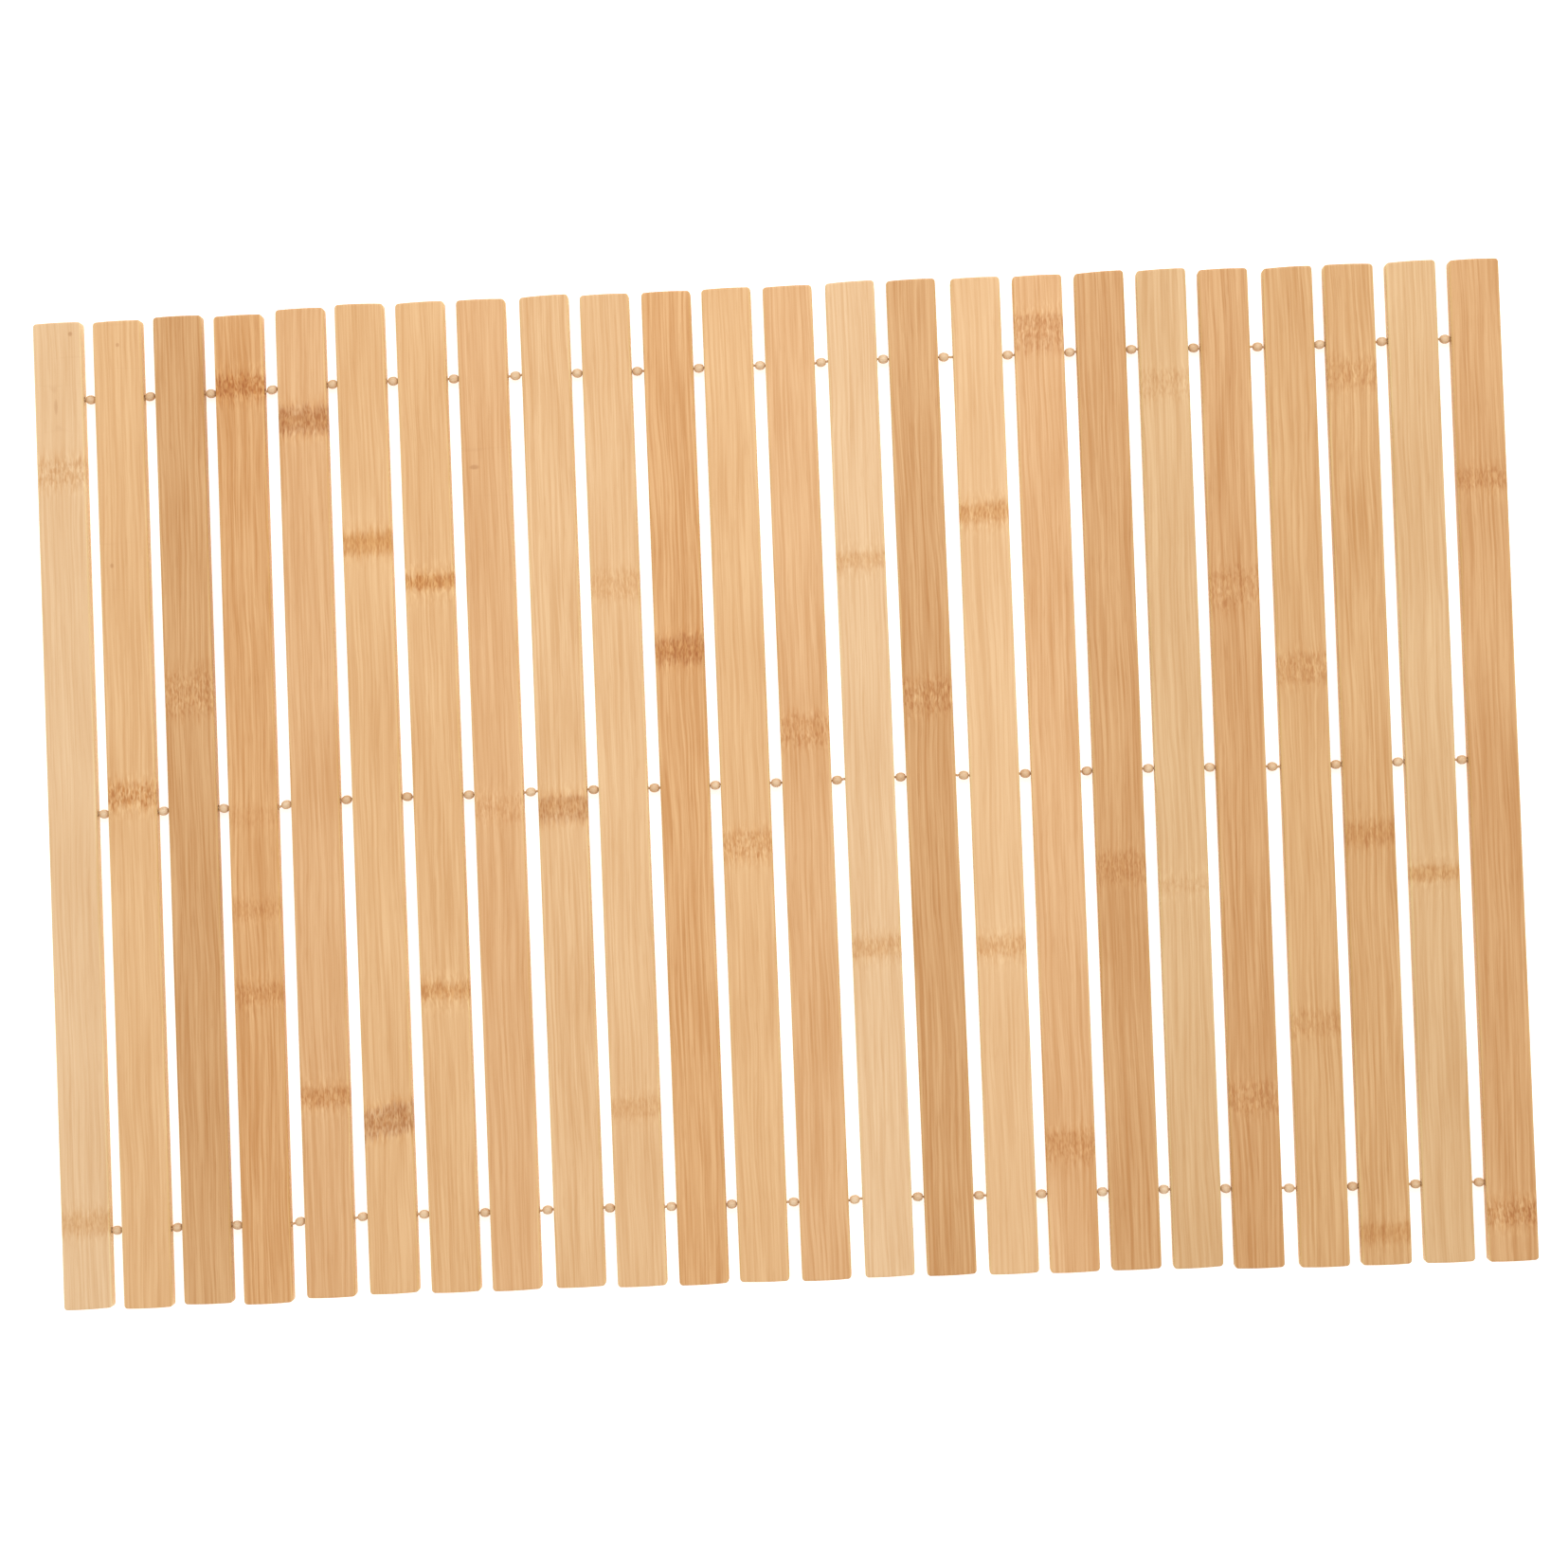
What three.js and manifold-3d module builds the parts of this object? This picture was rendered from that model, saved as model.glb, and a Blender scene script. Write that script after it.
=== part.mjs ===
// Slatted bamboo mat: flat slats side by side, threaded on three cords with a wooden bead in every gap.
// Millimetres. X runs across the slats, Y along them, Z up. The mat lies flat on Z = 0.
import * as THREE from "three";
import { mergeVertices } from "three/addons/utils/BufferGeometryUtils.js";
import Module from "manifold-3d";

const wasm = await Module();
wasm.setup();

// Slat
const SLAT_LENGTH = 400;
const SLAT_WIDTH = 19.8;
const SLAT_THICKNESS = 6;
const EDGE_EASE = 0.8;
const EASE_STEPS = 2;
const CORNER_RADIUS = 1.4;
const CORNER_STEPS = 1;

// Rows of holes, counted from the middle of the slat
const ROWS = [
  { name: "top", place: 168.5, bead: 0 },
  { name: "middle", place: 0, bead: 1 },
  { name: "low", place: -168.5, bead: 2 },
];
const HOLE_RADIUS = 1.2;
const HOLE_OVERRUN = 2;
const BLIND_HOLE_DEPTH = 14;
const MID_HEIGHT = SLAT_THICKNESS / 2;

// Cord and beads: a bead is a ball drawn out a little along the cord, with both its ends cut flat
const CORD_RADIUS = 0.55;
const CORD_DEPTH_IN_END_SLAT = 13;
const BEAD_RADIUS = 1.85;
const BEAD_STRETCH = 1.2;
const BEAD_HALF_LENGTH = 1.92;
const BEAD_RINGS = [-1, -0.6, 0, 0.6, 1];
const BEAD_REACH = 0.8 * BEAD_HALF_LENGTH;
const BEAD_CLEARANCE = 0.32;
const ROUND_STEPS = 8;

const TONES = {
  straw: "#e8c295",
  peach: "#eabd8d",
  honey: "#e7b985",
  wheat: "#e1b787",
  tan: "#e3b17f",
  gold: "#dcae7a",
  toast: "#daa672",
  bead: "#e6caa5",
};
const SLAT_ROUGHNESS = 0.55;
const BEAD_ROUGHNESS = 0.6;

// One row for each slat, from left to right.
// gap: space to the next slat at mid-length. slide: how far the slat sits up along Y.
// drift: how far its upper end lies to the right of its lower end.
// cuts: how much higher the right corner is than the left one, at its upper and at its lower end.
// beads: how far right of the middle of the next gap the bead lies, in the top, middle and low row.
const SLATS = [
  { tone: "straw", gap: 4.7, slide: -1.5, drift: 0.7, cuts: [0.2, 0.7], beads: [0.3, 0.6, -0.2] },
  { tone: "honey", gap: 4.8, slide: -1.8, drift: 0.7, cuts: [0.3, 0.3], beads: [-0.2, -0.4, 0] },
  { tone: "toast", gap: 4.7, slide: -0.9, drift: 0.9, cuts: [0.2, 0.1], beads: [0.1, -0.1, 0.5] },
  { tone: "toast", gap: 5.6, slide: -1.6, drift: 1.3, cuts: [0.3, 0.5], beads: [0.1, 0.5, 0.8] },
  { tone: "tan", gap: 5.1, slide: 0, drift: 1, cuts: [0.3, 0.2], beads: [0.4, -0.1, 0.6] },
  { tone: "honey", gap: 5, slide: 0.8, drift: -0.4, cuts: [-0.3, 0.4], beads: [0.8, -0.6, 0.6] },
  { tone: "honey", gap: 4.9, slide: 0.5, drift: -0.7, cuts: [0.4, 0.2], beads: [0.9, 0, 0.7] },
  { tone: "tan", gap: 5.9, slide: 0.5, drift: -0.6, cuts: [-0.1, 0.5], beads: [0.1, -0.1, 0.3] },
  { tone: "peach", gap: 4.8, slide: 0.9, drift: -0.7, cuts: [0.7, 0.3], beads: [0.1, 0.3, 0.2] },
  { tone: "peach", gap: 5.1, slide: 0.4, drift: -0.9, cuts: [0.1, 0.3], beads: [-0.4, 0, 0.3] },
  { tone: "toast", gap: 4.5, slide: 0.4, drift: -0.8, cuts: [0, 0.5], beads: [0, -0.1, -0.1] },
  { tone: "honey", gap: 5, slide: 0.7, drift: -0.8, cuts: [0.2, -0.2], beads: [0.3, 0, 0.3] },
  { tone: "tan", gap: 5.5, slide: 0.5, drift: -1, cuts: [0.2, 0.3], beads: [-0.1, -0.6, -0.3] },
  { tone: "straw", gap: 4.8, slide: 1.1, drift: -1.2, cuts: [0.6, 0.4], beads: [0.1, 0.1, 0] },
  { tone: "toast", gap: 5.6, slide: 0.9, drift: -1.4, cuts: [0.3, 0.3], beads: [-0.7, 0.4, -0.3] },
  { tone: "peach", gap: 4.75, slide: 0.6, drift: -0.5, cuts: [0.1, 0.3], beads: [-0.8, 0.5, -0.1] },
  { tone: "tan", gap: 4.85, slide: 0.4, drift: 0.1, cuts: [0.2, 0.3], beads: [-0.2, 0.4, -0.7] },
  { tone: "toast", gap: 4.9, slide: 0.7, drift: 0.4, cuts: [0.8, 0.3], beads: [-0.4, 0.1, -0.3] },
  { tone: "wheat", gap: 4.7, slide: 0.6, drift: 0.6, cuts: [0.5, 0.6], beads: [-0.1, 0, -0.1] },
  { tone: "toast", gap: 6, slide: -0.3, drift: 1, cuts: [0.1, 0.1], beads: [0.3, -0.2, 0.1] },
  { tone: "gold", gap: 4.6, slide: -0.7, drift: 0.8, cuts: [0.5, 0], beads: [0, 0, 0.3] },
  { tone: "gold", gap: 5.1, slide: -0.6, drift: 0.6, cuts: [-0.3, 0.1], beads: [0.7, 0, 0.6] },
  { tone: "wheat", gap: 5.3, slide: -0.5, drift: 0.4, cuts: [0.5, 0.1], beads: [0.4, 0.8, 0.7] },
  { tone: "gold", gap: 0, slide: -0.8, drift: 0.3, cuts: [0.1, 0.2], beads: [] },
];
const LAST = SLATS.length - 1;

// The middle of each slat across the mat, added up from widths and gaps.
function slatMiddles() {
  const middles = [];
  let x = 0;
  for (const slat of SLATS) {
    middles.push(x);
    x += SLAT_WIDTH + slat.gap;
  }
  return middles;
}

const MIDDLES = slatMiddles();

// Where the middle of a slat lies at a given row, with its drift.
function slatMiddleAt(index, row) {
  return MIDDLES[index] + (SLATS[index].drift * row.place) / SLAT_LENGTH;
}

function toSolid(geometry) {
  const bare = geometry.clone();
  bare.deleteAttribute("normal");
  bare.deleteAttribute("uv");
  const merged = mergeVertices(bare, 1e-4);
  return new wasm.Manifold(
    new wasm.Mesh({
      numProp: 3,
      vertProperties: new Float32Array(merged.attributes.position.array),
      triVerts: new Uint32Array(merged.index.array),
    }),
  );
}

function toGeometry(solid) {
  const mesh = solid.getMesh();
  const geometry = new THREE.BufferGeometry();
  geometry.setAttribute("position", new THREE.BufferAttribute(mesh.vertProperties, mesh.numProp));
  geometry.setIndex(new THREE.BufferAttribute(mesh.triVerts, 1));
  geometry.computeVertexNormals();
  return geometry;
}

function slatOutline() {
  const x = SLAT_WIDTH / 2 - CORNER_RADIUS;
  const y = SLAT_LENGTH / 2 - CORNER_RADIUS;
  const quarter = Math.PI / 2;
  const outline = new THREE.Shape();
  outline.absarc(x, y, CORNER_RADIUS, 0, quarter);
  outline.absarc(-x, y, CORNER_RADIUS, quarter, 2 * quarter);
  outline.absarc(-x, -y, CORNER_RADIUS, 2 * quarter, 3 * quarter);
  outline.absarc(x, -y, CORNER_RADIUS, 3 * quarter, 4 * quarter);
  outline.closePath();
  return outline;
}

// A slat without holes: its flat outline raised, with both rims eased and both ends cut a little askew.
function slatBlank(cuts) {
  const blank = new THREE.ExtrudeGeometry(slatOutline(), {
    depth: SLAT_THICKNESS - 2 * EDGE_EASE,
    curveSegments: CORNER_STEPS,
    bevelEnabled: true,
    bevelThickness: EDGE_EASE,
    bevelSize: EDGE_EASE,
    bevelOffset: -EDGE_EASE,
    bevelSegments: EASE_STEPS,
  });
  blank.translate(0, 0, EDGE_EASE);
  const points = blank.attributes.position;
  for (let i = 0; i < points.count; i += 1) {
    const cut = points.getY(i) > 0 ? cuts[0] : cuts[1];
    points.setY(i, points.getY(i) + (cut * points.getX(i)) / SLAT_WIDTH);
  }
  return blank;
}

// A drill across the slat, reaching from x = from to x = to.
function drill(from, to, place) {
  const bit = new THREE.CylinderGeometry(HOLE_RADIUS, HOLE_RADIUS, to - from, ROUND_STEPS);
  bit.rotateZ(Math.PI / 2);
  bit.translate((from + to) / 2, place, MID_HEIGHT);
  return bit;
}

// The inner slats are drilled right through, and the two end slats from their inner side only.
function drilledSlat(index) {
  const outside = SLAT_WIDTH / 2 + HOLE_OVERRUN;
  const blindEnd = SLAT_WIDTH / 2 - BLIND_HOLE_DEPTH;
  const from = index === 0 ? blindEnd : -outside;
  const to = index === LAST ? -blindEnd : outside;
  let solid = toSolid(slatBlank(SLATS[index].cuts));
  for (const row of ROWS) {
    solid = solid.subtract(toSolid(drill(from, to, row.place)));
  }
  return toGeometry(solid);
}

function slatMesh(index) {
  const slat = SLATS[index];
  const look = { color: TONES[slat.tone], roughness: SLAT_ROUGHNESS, metalness: 0 };
  const mesh = new THREE.Mesh(drilledSlat(index), new THREE.MeshStandardMaterial(look));
  mesh.name = `slat_${String(index + 1).padStart(2, "0")}`;
  mesh.position.set(MIDDLES[index], slat.slide, 0);
  mesh.rotation.z = -Math.atan(slat.drift / SLAT_LENGTH);
  return mesh;
}

// The middle of the bead in the gap after a slat.
function beadMiddle(index, row) {
  const left = slatMiddleAt(index, row) + SLAT_WIDTH / 2;
  const right = slatMiddleAt(index + 1, row) - SLAT_WIDTH / 2;
  const play = (right - left) / 2 - BEAD_HALF_LENGTH - BEAD_CLEARANCE;
  return (left + right) / 2 + THREE.MathUtils.clamp(SLATS[index].beads[row.bead], -play, play);
}

// Half of the cord's long section: a plain radius that steps out to each bead and back.
function cordProfile(row) {
  const start = slatMiddleAt(0, row) + SLAT_WIDTH / 2 - CORD_DEPTH_IN_END_SLAT;
  const end = slatMiddleAt(LAST, row) - SLAT_WIDTH / 2 + CORD_DEPTH_IN_END_SLAT;
  const profile = [new THREE.Vector2(0, start), new THREE.Vector2(CORD_RADIUS, start)];
  for (let index = 0; index < LAST; index += 1) {
    const bead = beadMiddle(index, row);
    profile.push(new THREE.Vector2(CORD_RADIUS, bead - BEAD_HALF_LENGTH));
    for (const ring of BEAD_RINGS) {
      const along = ring * BEAD_HALF_LENGTH;
      const radius = Math.sqrt(BEAD_RADIUS ** 2 - (along / BEAD_STRETCH) ** 2);
      profile.push(new THREE.Vector2(radius, bead + along));
    }
    profile.push(new THREE.Vector2(CORD_RADIUS, bead + BEAD_HALF_LENGTH));
  }
  profile.push(new THREE.Vector2(CORD_RADIUS, end), new THREE.Vector2(0, end));
  return profile;
}

// How far along Y the cord lies at x. It runs straight through each slat, and within BEAD_REACH of
// a bead's middle, between its last two rings, it lies midway between the slats on either side.
function cordSlide(x, row) {
  for (let index = 0; index < LAST; index += 1) {
    const bead = beadMiddle(index, row);
    if (x < bead - BEAD_REACH) {
      return SLATS[index].slide;
    }
    if (x < bead + BEAD_REACH) {
      return (SLATS[index].slide + SLATS[index + 1].slide) / 2;
    }
  }
  return SLATS[LAST].slide;
}

function cordMesh(row) {
  const geometry = new THREE.LatheGeometry(cordProfile(row), ROUND_STEPS);
  geometry.rotateZ(-Math.PI / 2);
  const points = geometry.attributes.position;
  for (let i = 0; i < points.count; i += 1) {
    points.setY(i, points.getY(i) + cordSlide(points.getX(i), row));
  }
  geometry.computeVertexNormals();
  const look = { color: TONES.bead, roughness: BEAD_ROUGHNESS, metalness: 0 };
  const mesh = new THREE.Mesh(geometry, new THREE.MeshStandardMaterial(look));
  mesh.name = `beaded_cord_${row.name}`;
  mesh.position.set(0, row.place, MID_HEIGHT);
  return mesh;
}

const mat = new THREE.Group();
for (let index = 0; index <= LAST; index += 1) {
  mat.add(slatMesh(index));
}
for (const row of ROWS) {
  mat.add(cordMesh(row));
}

// The origin is below the middle of the whole mat.
const middle = new THREE.Box3().setFromObject(mat, true).getCenter(new THREE.Vector3());
mat.position.set(-middle.x, -middle.y, 0);

export default mat;
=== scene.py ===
import math
from collections import namedtuple

import bpy
import numpy as np
from mathutils import Matrix, Vector


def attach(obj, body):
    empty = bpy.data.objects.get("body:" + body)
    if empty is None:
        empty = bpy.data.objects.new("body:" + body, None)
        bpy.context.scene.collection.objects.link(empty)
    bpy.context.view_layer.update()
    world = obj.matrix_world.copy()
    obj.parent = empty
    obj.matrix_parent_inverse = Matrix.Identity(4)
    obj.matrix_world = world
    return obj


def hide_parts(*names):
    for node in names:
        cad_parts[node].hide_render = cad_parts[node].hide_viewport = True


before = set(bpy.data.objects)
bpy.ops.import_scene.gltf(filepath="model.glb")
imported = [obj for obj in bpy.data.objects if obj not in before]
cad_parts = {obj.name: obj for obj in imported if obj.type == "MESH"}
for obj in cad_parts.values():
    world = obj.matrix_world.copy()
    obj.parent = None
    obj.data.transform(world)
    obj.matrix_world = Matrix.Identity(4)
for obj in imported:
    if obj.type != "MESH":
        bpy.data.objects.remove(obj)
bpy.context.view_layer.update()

MM = 0.001

# Camera: above the mat, a little right of its middle and below it, with a slight lean and roll
LENS = 66.61
CAMERA_PLACE = (41.1 * MM, -18.16 * MM, 1170 * MM)
CAMERA_TILT = math.radians(0.831)
CAMERA_LEAN = math.radians(1.916)
CAMERA_ROLL = math.radians(-2.193)

# Slats, in mm. Their edges have quarter rounds with points at EASE_ANGLES, in degrees, and an end's corners
# fall back behind its middle by END_CROWN.
EDGE_EASE = 0.8
EASE_ANGLES = (0, 30, 60, 90)
CORNER_RADIUS = 1.4
CORNER_STEPS = 6
END_CROWN = 0.25

# Points on a slat: columns across its faces, as shares of half their width, the last row on its plain side,
# as a share of half its thickness, and the step between sections along it, in mm
COLUMNS = (-1, -0.94, -0.7, -0.42, -0.14, 0.14, 0.42, 0.7, 0.94, 1)
SIDE_SUPPORT = 0.6
STATION_STEP = 5

# How much of a packed slat's end is read for its width and skew, and how far the skew reaches in, in mm
END_WINDOW = 3
SKEW_REACH = 20

# Edges are shaded smooth below this angle
SMOOTH_BELOW = math.radians(40)

# A bamboo node's slight hollow in the planed faces: its depth and reach, and where sections follow it, in mm
HOLLOW_DEPTH = 0.1
HOLLOW_REACH = 2.5
HOLLOW_STATIONS = range(-8, 9)

# Holes, in mm: where their rows lie along Y, and how the bars that cut them are made
ROWS = {"top": 168.5, "middle": 0, "low": -168.5}
HOLE_RADIUS = 1.2
HOLE_SIDES = 24
HOLE_OVERRUN = 2
BLIND_HOLE_DEPTH = 14

# Cord, in mm: three touching strands twisted together, and yarn that partly fills their grooves
CORD_RADIUS = 0.55
STRAND_RADIUS = 0.464 * CORD_RADIUS
STRAND_OFFSET = CORD_RADIUS - STRAND_RADIUS
GROOVE_RADIUS = 0.78 * CORD_RADIUS
CORD_TWIST = 2 * math.pi / 3
CORD_SIDES = 18
CORD_STEP_OUTSIDE = 0.25
CORD_STEP_INSIDE = 0.5

# How far inside a hole the cord still shows
CORD_SHOWS = 1.5

# Beads, in mm: turned wooden balls, drawn out a little along the cord, with cut ends and a bore for the cord
BEAD_RADIUS = 1.85
BEAD_STRETCH = 1.2
BEAD_HALF_LENGTH = 1.92
BEAD_BORE = 0.6
BEAD_RIM = 0.06
BEAD_ARC_STEPS = 14
BEAD_SIDES = 24

# Tones of the planed bamboo, as sRGB
TONES = {
    "straw": (0xE9, 0xC5, 0x99),
    "peach": (0xE8, 0xC0, 0x90),
    "honey": (0xE6, 0xBB, 0x88),
    "wheat": (0xDE, 0xB8, 0x88),
    "tan": (0xE4, 0xB7, 0x85),
    "gold": (0xDC, 0xB1, 0x7D),
    "toast": (0xD9, 0xAB, 0x77),
    "amber": (0xE2, 0xB2, 0x7C),
}

# A bamboo node across a slat. place: mm above the slat's middle. depth: how dark its stain is, from 0 to 1.
# flecks: how strongly its dark and light flecks show, from 0 to 1.
# up, down: how far its band reaches above and below its place, in mm.
# slant: its rise across the slat, in mm for each mm.
# rose: how far its stain leans from brown to a greyish rose, from 0 to 1.
Node = namedtuple("Node", "place depth flecks up down slant rose", defaults=(0, 0))

# A small brown mark on a slat. across, place: mm from the slat's middle. width, height: half its size each
# way, in mm. depth: how dark it is, from 0 to 1.
Mark = namedtuple("Mark", "across place width height depth")

# One row for each slat, from left to right. lines: how strongly its fibres show.
SLATS = [
    {
        "tone": "straw",
        "lines": 0.62,
        "nodes": [Node(138, 0.05, 0.5, 6, 5), Node(-165, 0.27, 0.33, 5, 5)],
        "marks": [Mark(5.5, 195, 0.8, 0.9, 0.6), Mark(-1.2, 165.5, 0.7, 3, 0.35)],
    },
    {
        "tone": "honey",
        "lines": 0.78,
        "nodes": [Node(7, 0.13, 0.85, 5, 5)],
        "marks": [Mark(0.2, 190, 0.7, 0.8, 0.5), Mark(-5, 100.5, 0.7, 0.9, 0.5)],
    },
    {"tone": "toast", "lines": 1.15, "nodes": [Node(47, 0, 0.55, 9, 9)]},
    {
        "tone": "amber",
        "lines": 1.35,
        "nodes": [
            Node(171, 0.38, 0.9, 4.5, 5),
            Node(-3, 0.03, 0.2, 4, 4),
            Node(-41, 0.12, 0.33, 4, 4),
            Node(-75, 0.19, 0.5, 4, 4),
        ],
    },
    {
        "tone": "tan",
        "lines": 0.93,
        "nodes": [Node(154, 0.58, 0.7, 6, 5, 0, 0.6), Node(-119, 0.35, 0.6, 4, 4, 0, 0.1)],
    },
    {
        "tone": "honey",
        "lines": 0.8,
        "nodes": [Node(103, 0.58, 0.45, 5, 5), Node(-130, 0.48, 0.75, 5.5, 6, 0.2, 0.9)],
    },
    {"tone": "honey", "lines": 0.83, "nodes": [Node(86, 0.52, 0.75, 3.5, 2.5), Node(-79, 0.33, 0.6, 4, 3)]},
    {
        "tone": "tan",
        "lines": 0.85,
        "nodes": [Node(-5, 0, 0.4, 4, 6)],
        "marks": [Mark(-4.8, 132, 1.8, 0.9, 0.5)],
    },
    {"tone": "peach", "lines": 0.9, "nodes": [Node(-6, 0.5, 0.6, 3.5, 6, 0, 0.5)]},
    {"tone": "peach", "lines": 0.78, "nodes": [Node(82, 0.15, 0.3, 6, 6), Node(-128, 0.17, 0.3, 4, 4)]},
    {"tone": "amber", "lines": 1.25, "nodes": [Node(55, 0.55, 0.7, 5.5, 5.5, 0, 0.35)]},
    {"tone": "honey", "lines": 0.8, "nodes": [Node(-25, 0.08, 0.6, 6, 5)]},
    {"tone": "tan", "lines": 0.95, "nodes": [Node(21, 0.1, 0.55, 6, 6)]},
    {"tone": "straw", "lines": 0.73, "nodes": [Node(88, 0.25, 0.35, 3, 4), Node(-68, 0.27, 0.4, 4, 4)]},
    {"tone": "toast", "lines": 1.22, "nodes": [Node(32, 0, 0.65, 7, 7)]},
    {"tone": "peach", "lines": 0.68, "nodes": [Node(105, 0.41, 0.55, 4, 4), Node(-69, 0.22, 0.45, 4, 4)]},
    {
        "tone": "tan",
        "lines": 1.0,
        "nodes": [Node(181, 0.16, 0.6, 3, 12, 0, 0.5), Node(-148, 0.24, 0.45, 5, 8)],
    },
    {"tone": "toast", "lines": 1.2, "nodes": [Node(-39, 0.17, 0.45, 6, 7)]},
    {"tone": "wheat", "lines": 0.8, "nodes": [Node(154, 0.02, 0.33, 5, 5), Node(-47, 0, 0.3, 2.5, 2.5)]},
    {"tone": "toast", "lines": 1.25, "nodes": [Node(72, 0, 0.45, 8, 8), Node(-132, 0.02, 0.5, 6, 6)]},
    {"tone": "gold", "lines": 1.0, "nodes": [Node(39, 0.11, 0.5, 6, 6), Node(-103, 0.1, 0.35, 5, 5)]},
    {
        "tone": "gold",
        "lines": 1.15,
        "nodes": [Node(156, 0.17, 0.45, 6, 6), Node(-28, 0.3, 0.4, 5, 5), Node(-187, 0.35, 0.3, 4, 4)],
    },
    {"tone": "wheat", "lines": 0.76, "nodes": [Node(-45, 0.38, 0.45, 3, 3)]},
    {"tone": "toast", "lines": 1.05, "nodes": [Node(111, 0.12, 0.5, 5, 3), Node(-181, 0, 0.7, 5, 4)]},
]
LAST = len(SLATS) - 1

# Farther than this from its middle, in mm, a bamboo node or a mark leaves no trace. Nearer than its heart, a
# bamboo node stirs the fibres fully, and its faint halo reaches farther than its band.
NODE_TRACE = 13
NODE_HEART = 2
HALO_REACH = 12
MARK_TRACE = 8

# Zones of a bamboo node: where each starts and where it is full, as shares of the reach of its band
ZONES = {"around": (2.3, 0.8), "band": (1.3, 0.6), "core": (0.9, 0.1)}

# Painted light: a slat's rounded edges and sides are painted lighter and yellower than its top, starting and
# full at these shares of half its width
SIDE_LIGHT_START = 0.9
SIDE_LIGHT_FULL = 0.97

# Each slat reads its own part of the pattern, this far from its neighbour's
PATTERN_OFFSET = (61.7, 503.3, 17.9)

# Floor: its size and its drop below the mat, in mm, and how strongly it glows
FLOOR_SIZE = 24000
FLOOR_DROP = 0.2
FLOOR_GLOW = 0.6

# Light: the sky's strength, and the lamp's power, size and place, in watts and metres
SKY_STRENGTH = 0.9
LAMP_POWER = 5.2
LAMP_SIZE = 0.8
LAMP_PLACE = (0.25, 0.75, 1)

# What an effect of the bamboo multiplies its tone by where the effect is full, as red, green, blue and alpha
# This first tint is painted light, which makes a slat's rounded edges and sides lighter and yellower than
# its top
SIDE_LIGHT_TINT = (1.06, 1.16, 1.12, 1)
FIBRE_TINT = (0.76, 0.61, 0.44, 1)
DASH_TINT = (0.80, 0.68, 0.52, 1)
FLAME_TINT = (0.82, 0.62, 0.38, 1)
STAIN_TINT = (0.82, 0.64, 0.38, 1)
FLECK_TINT = (0.74, 0.54, 0.33, 1)
ROSE_TINT = (0.8, 0.9, 1.38, 1)
GLINT_TINT = (1.18, 1.3, 1.42, 1)
MARK_TINT = (0.62, 0.46, 0.34, 1)

# How much each pattern of the fibres darkens them
EVEN_SHARE = 0.12
MEDIUM_SHARE = 0.34
FINE_SHARE = 0.36
BROAD_SHARE = 0.25
CLOUD_SHARE = 0.5
DASH_SHARE = 0.25

# How much each part of a bamboo node colours it
FLAME_SHARE = 0.6
HALO_SHARE = 0.4
BAND_SHARE = 0.6
CORE_SHARE = 0.35
ROSE_SHARE = 0.9

# How far the fibres wander across, in mm, and how ragged a bamboo node's band is, as a share of its reach
FIBRE_SWAY = 5
FIBRE_STIR = 2.2
BAND_RAGGED = 1.6

# Cord and beads: their tones as sRGB, and what their effects multiply them by; the cord's groove tint is
# painted shade deep in the grooves between its strands
CORD_TONE = (0xE6, 0xC2, 0x97)
YARN_TINT = (0.88, 0.8, 0.7, 1)
GROOVE_SHADE_TINT = (0.78, 0.66, 0.54, 1)
PATCH_TINT = (0.94, 0.9, 0.84, 1)
BEAD_TONE = (0xEA, 0xD0, 0xAE)
RING_TINT = (0.86, 0.78, 0.66, 1)
DARKER_TINT = (0.86, 0.76, 0.66, 1)
PORE_TINT = (0.7, 0.58, 0.42, 1)

# The surfaces' relief and least roughness, and how strongly bamboo reflects
BAMBOO_RELIEF = 0.04 * MM
CORD_RELIEF = 0.03 * MM
BEAD_RELIEF = 0.03 * MM
BAMBOO_ROUGHNESS = 0.48
CORD_ROUGHNESS = 0.75
BEAD_ROUGHNESS = 0.38
BAMBOO_SPECULAR = 0.4

# The floor's tone, and what its faint clouds multiply it by
FLOOR_TONE = (0.9, 0.9, 0.9, 1)
FLOOR_TINT = (0.9, 0.9, 0.9, 1)


def linear(srgb):
    """An sRGB colour of 0 to 255 as linear light."""
    shares = np.array(srgb) / 255
    return np.where(shares <= 0.04045, shares / 12.92, ((shares + 0.055) / 1.055) ** 2.4)


def rgba(srgb):
    return (*linear(srgb), 1)


# Node trees


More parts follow.
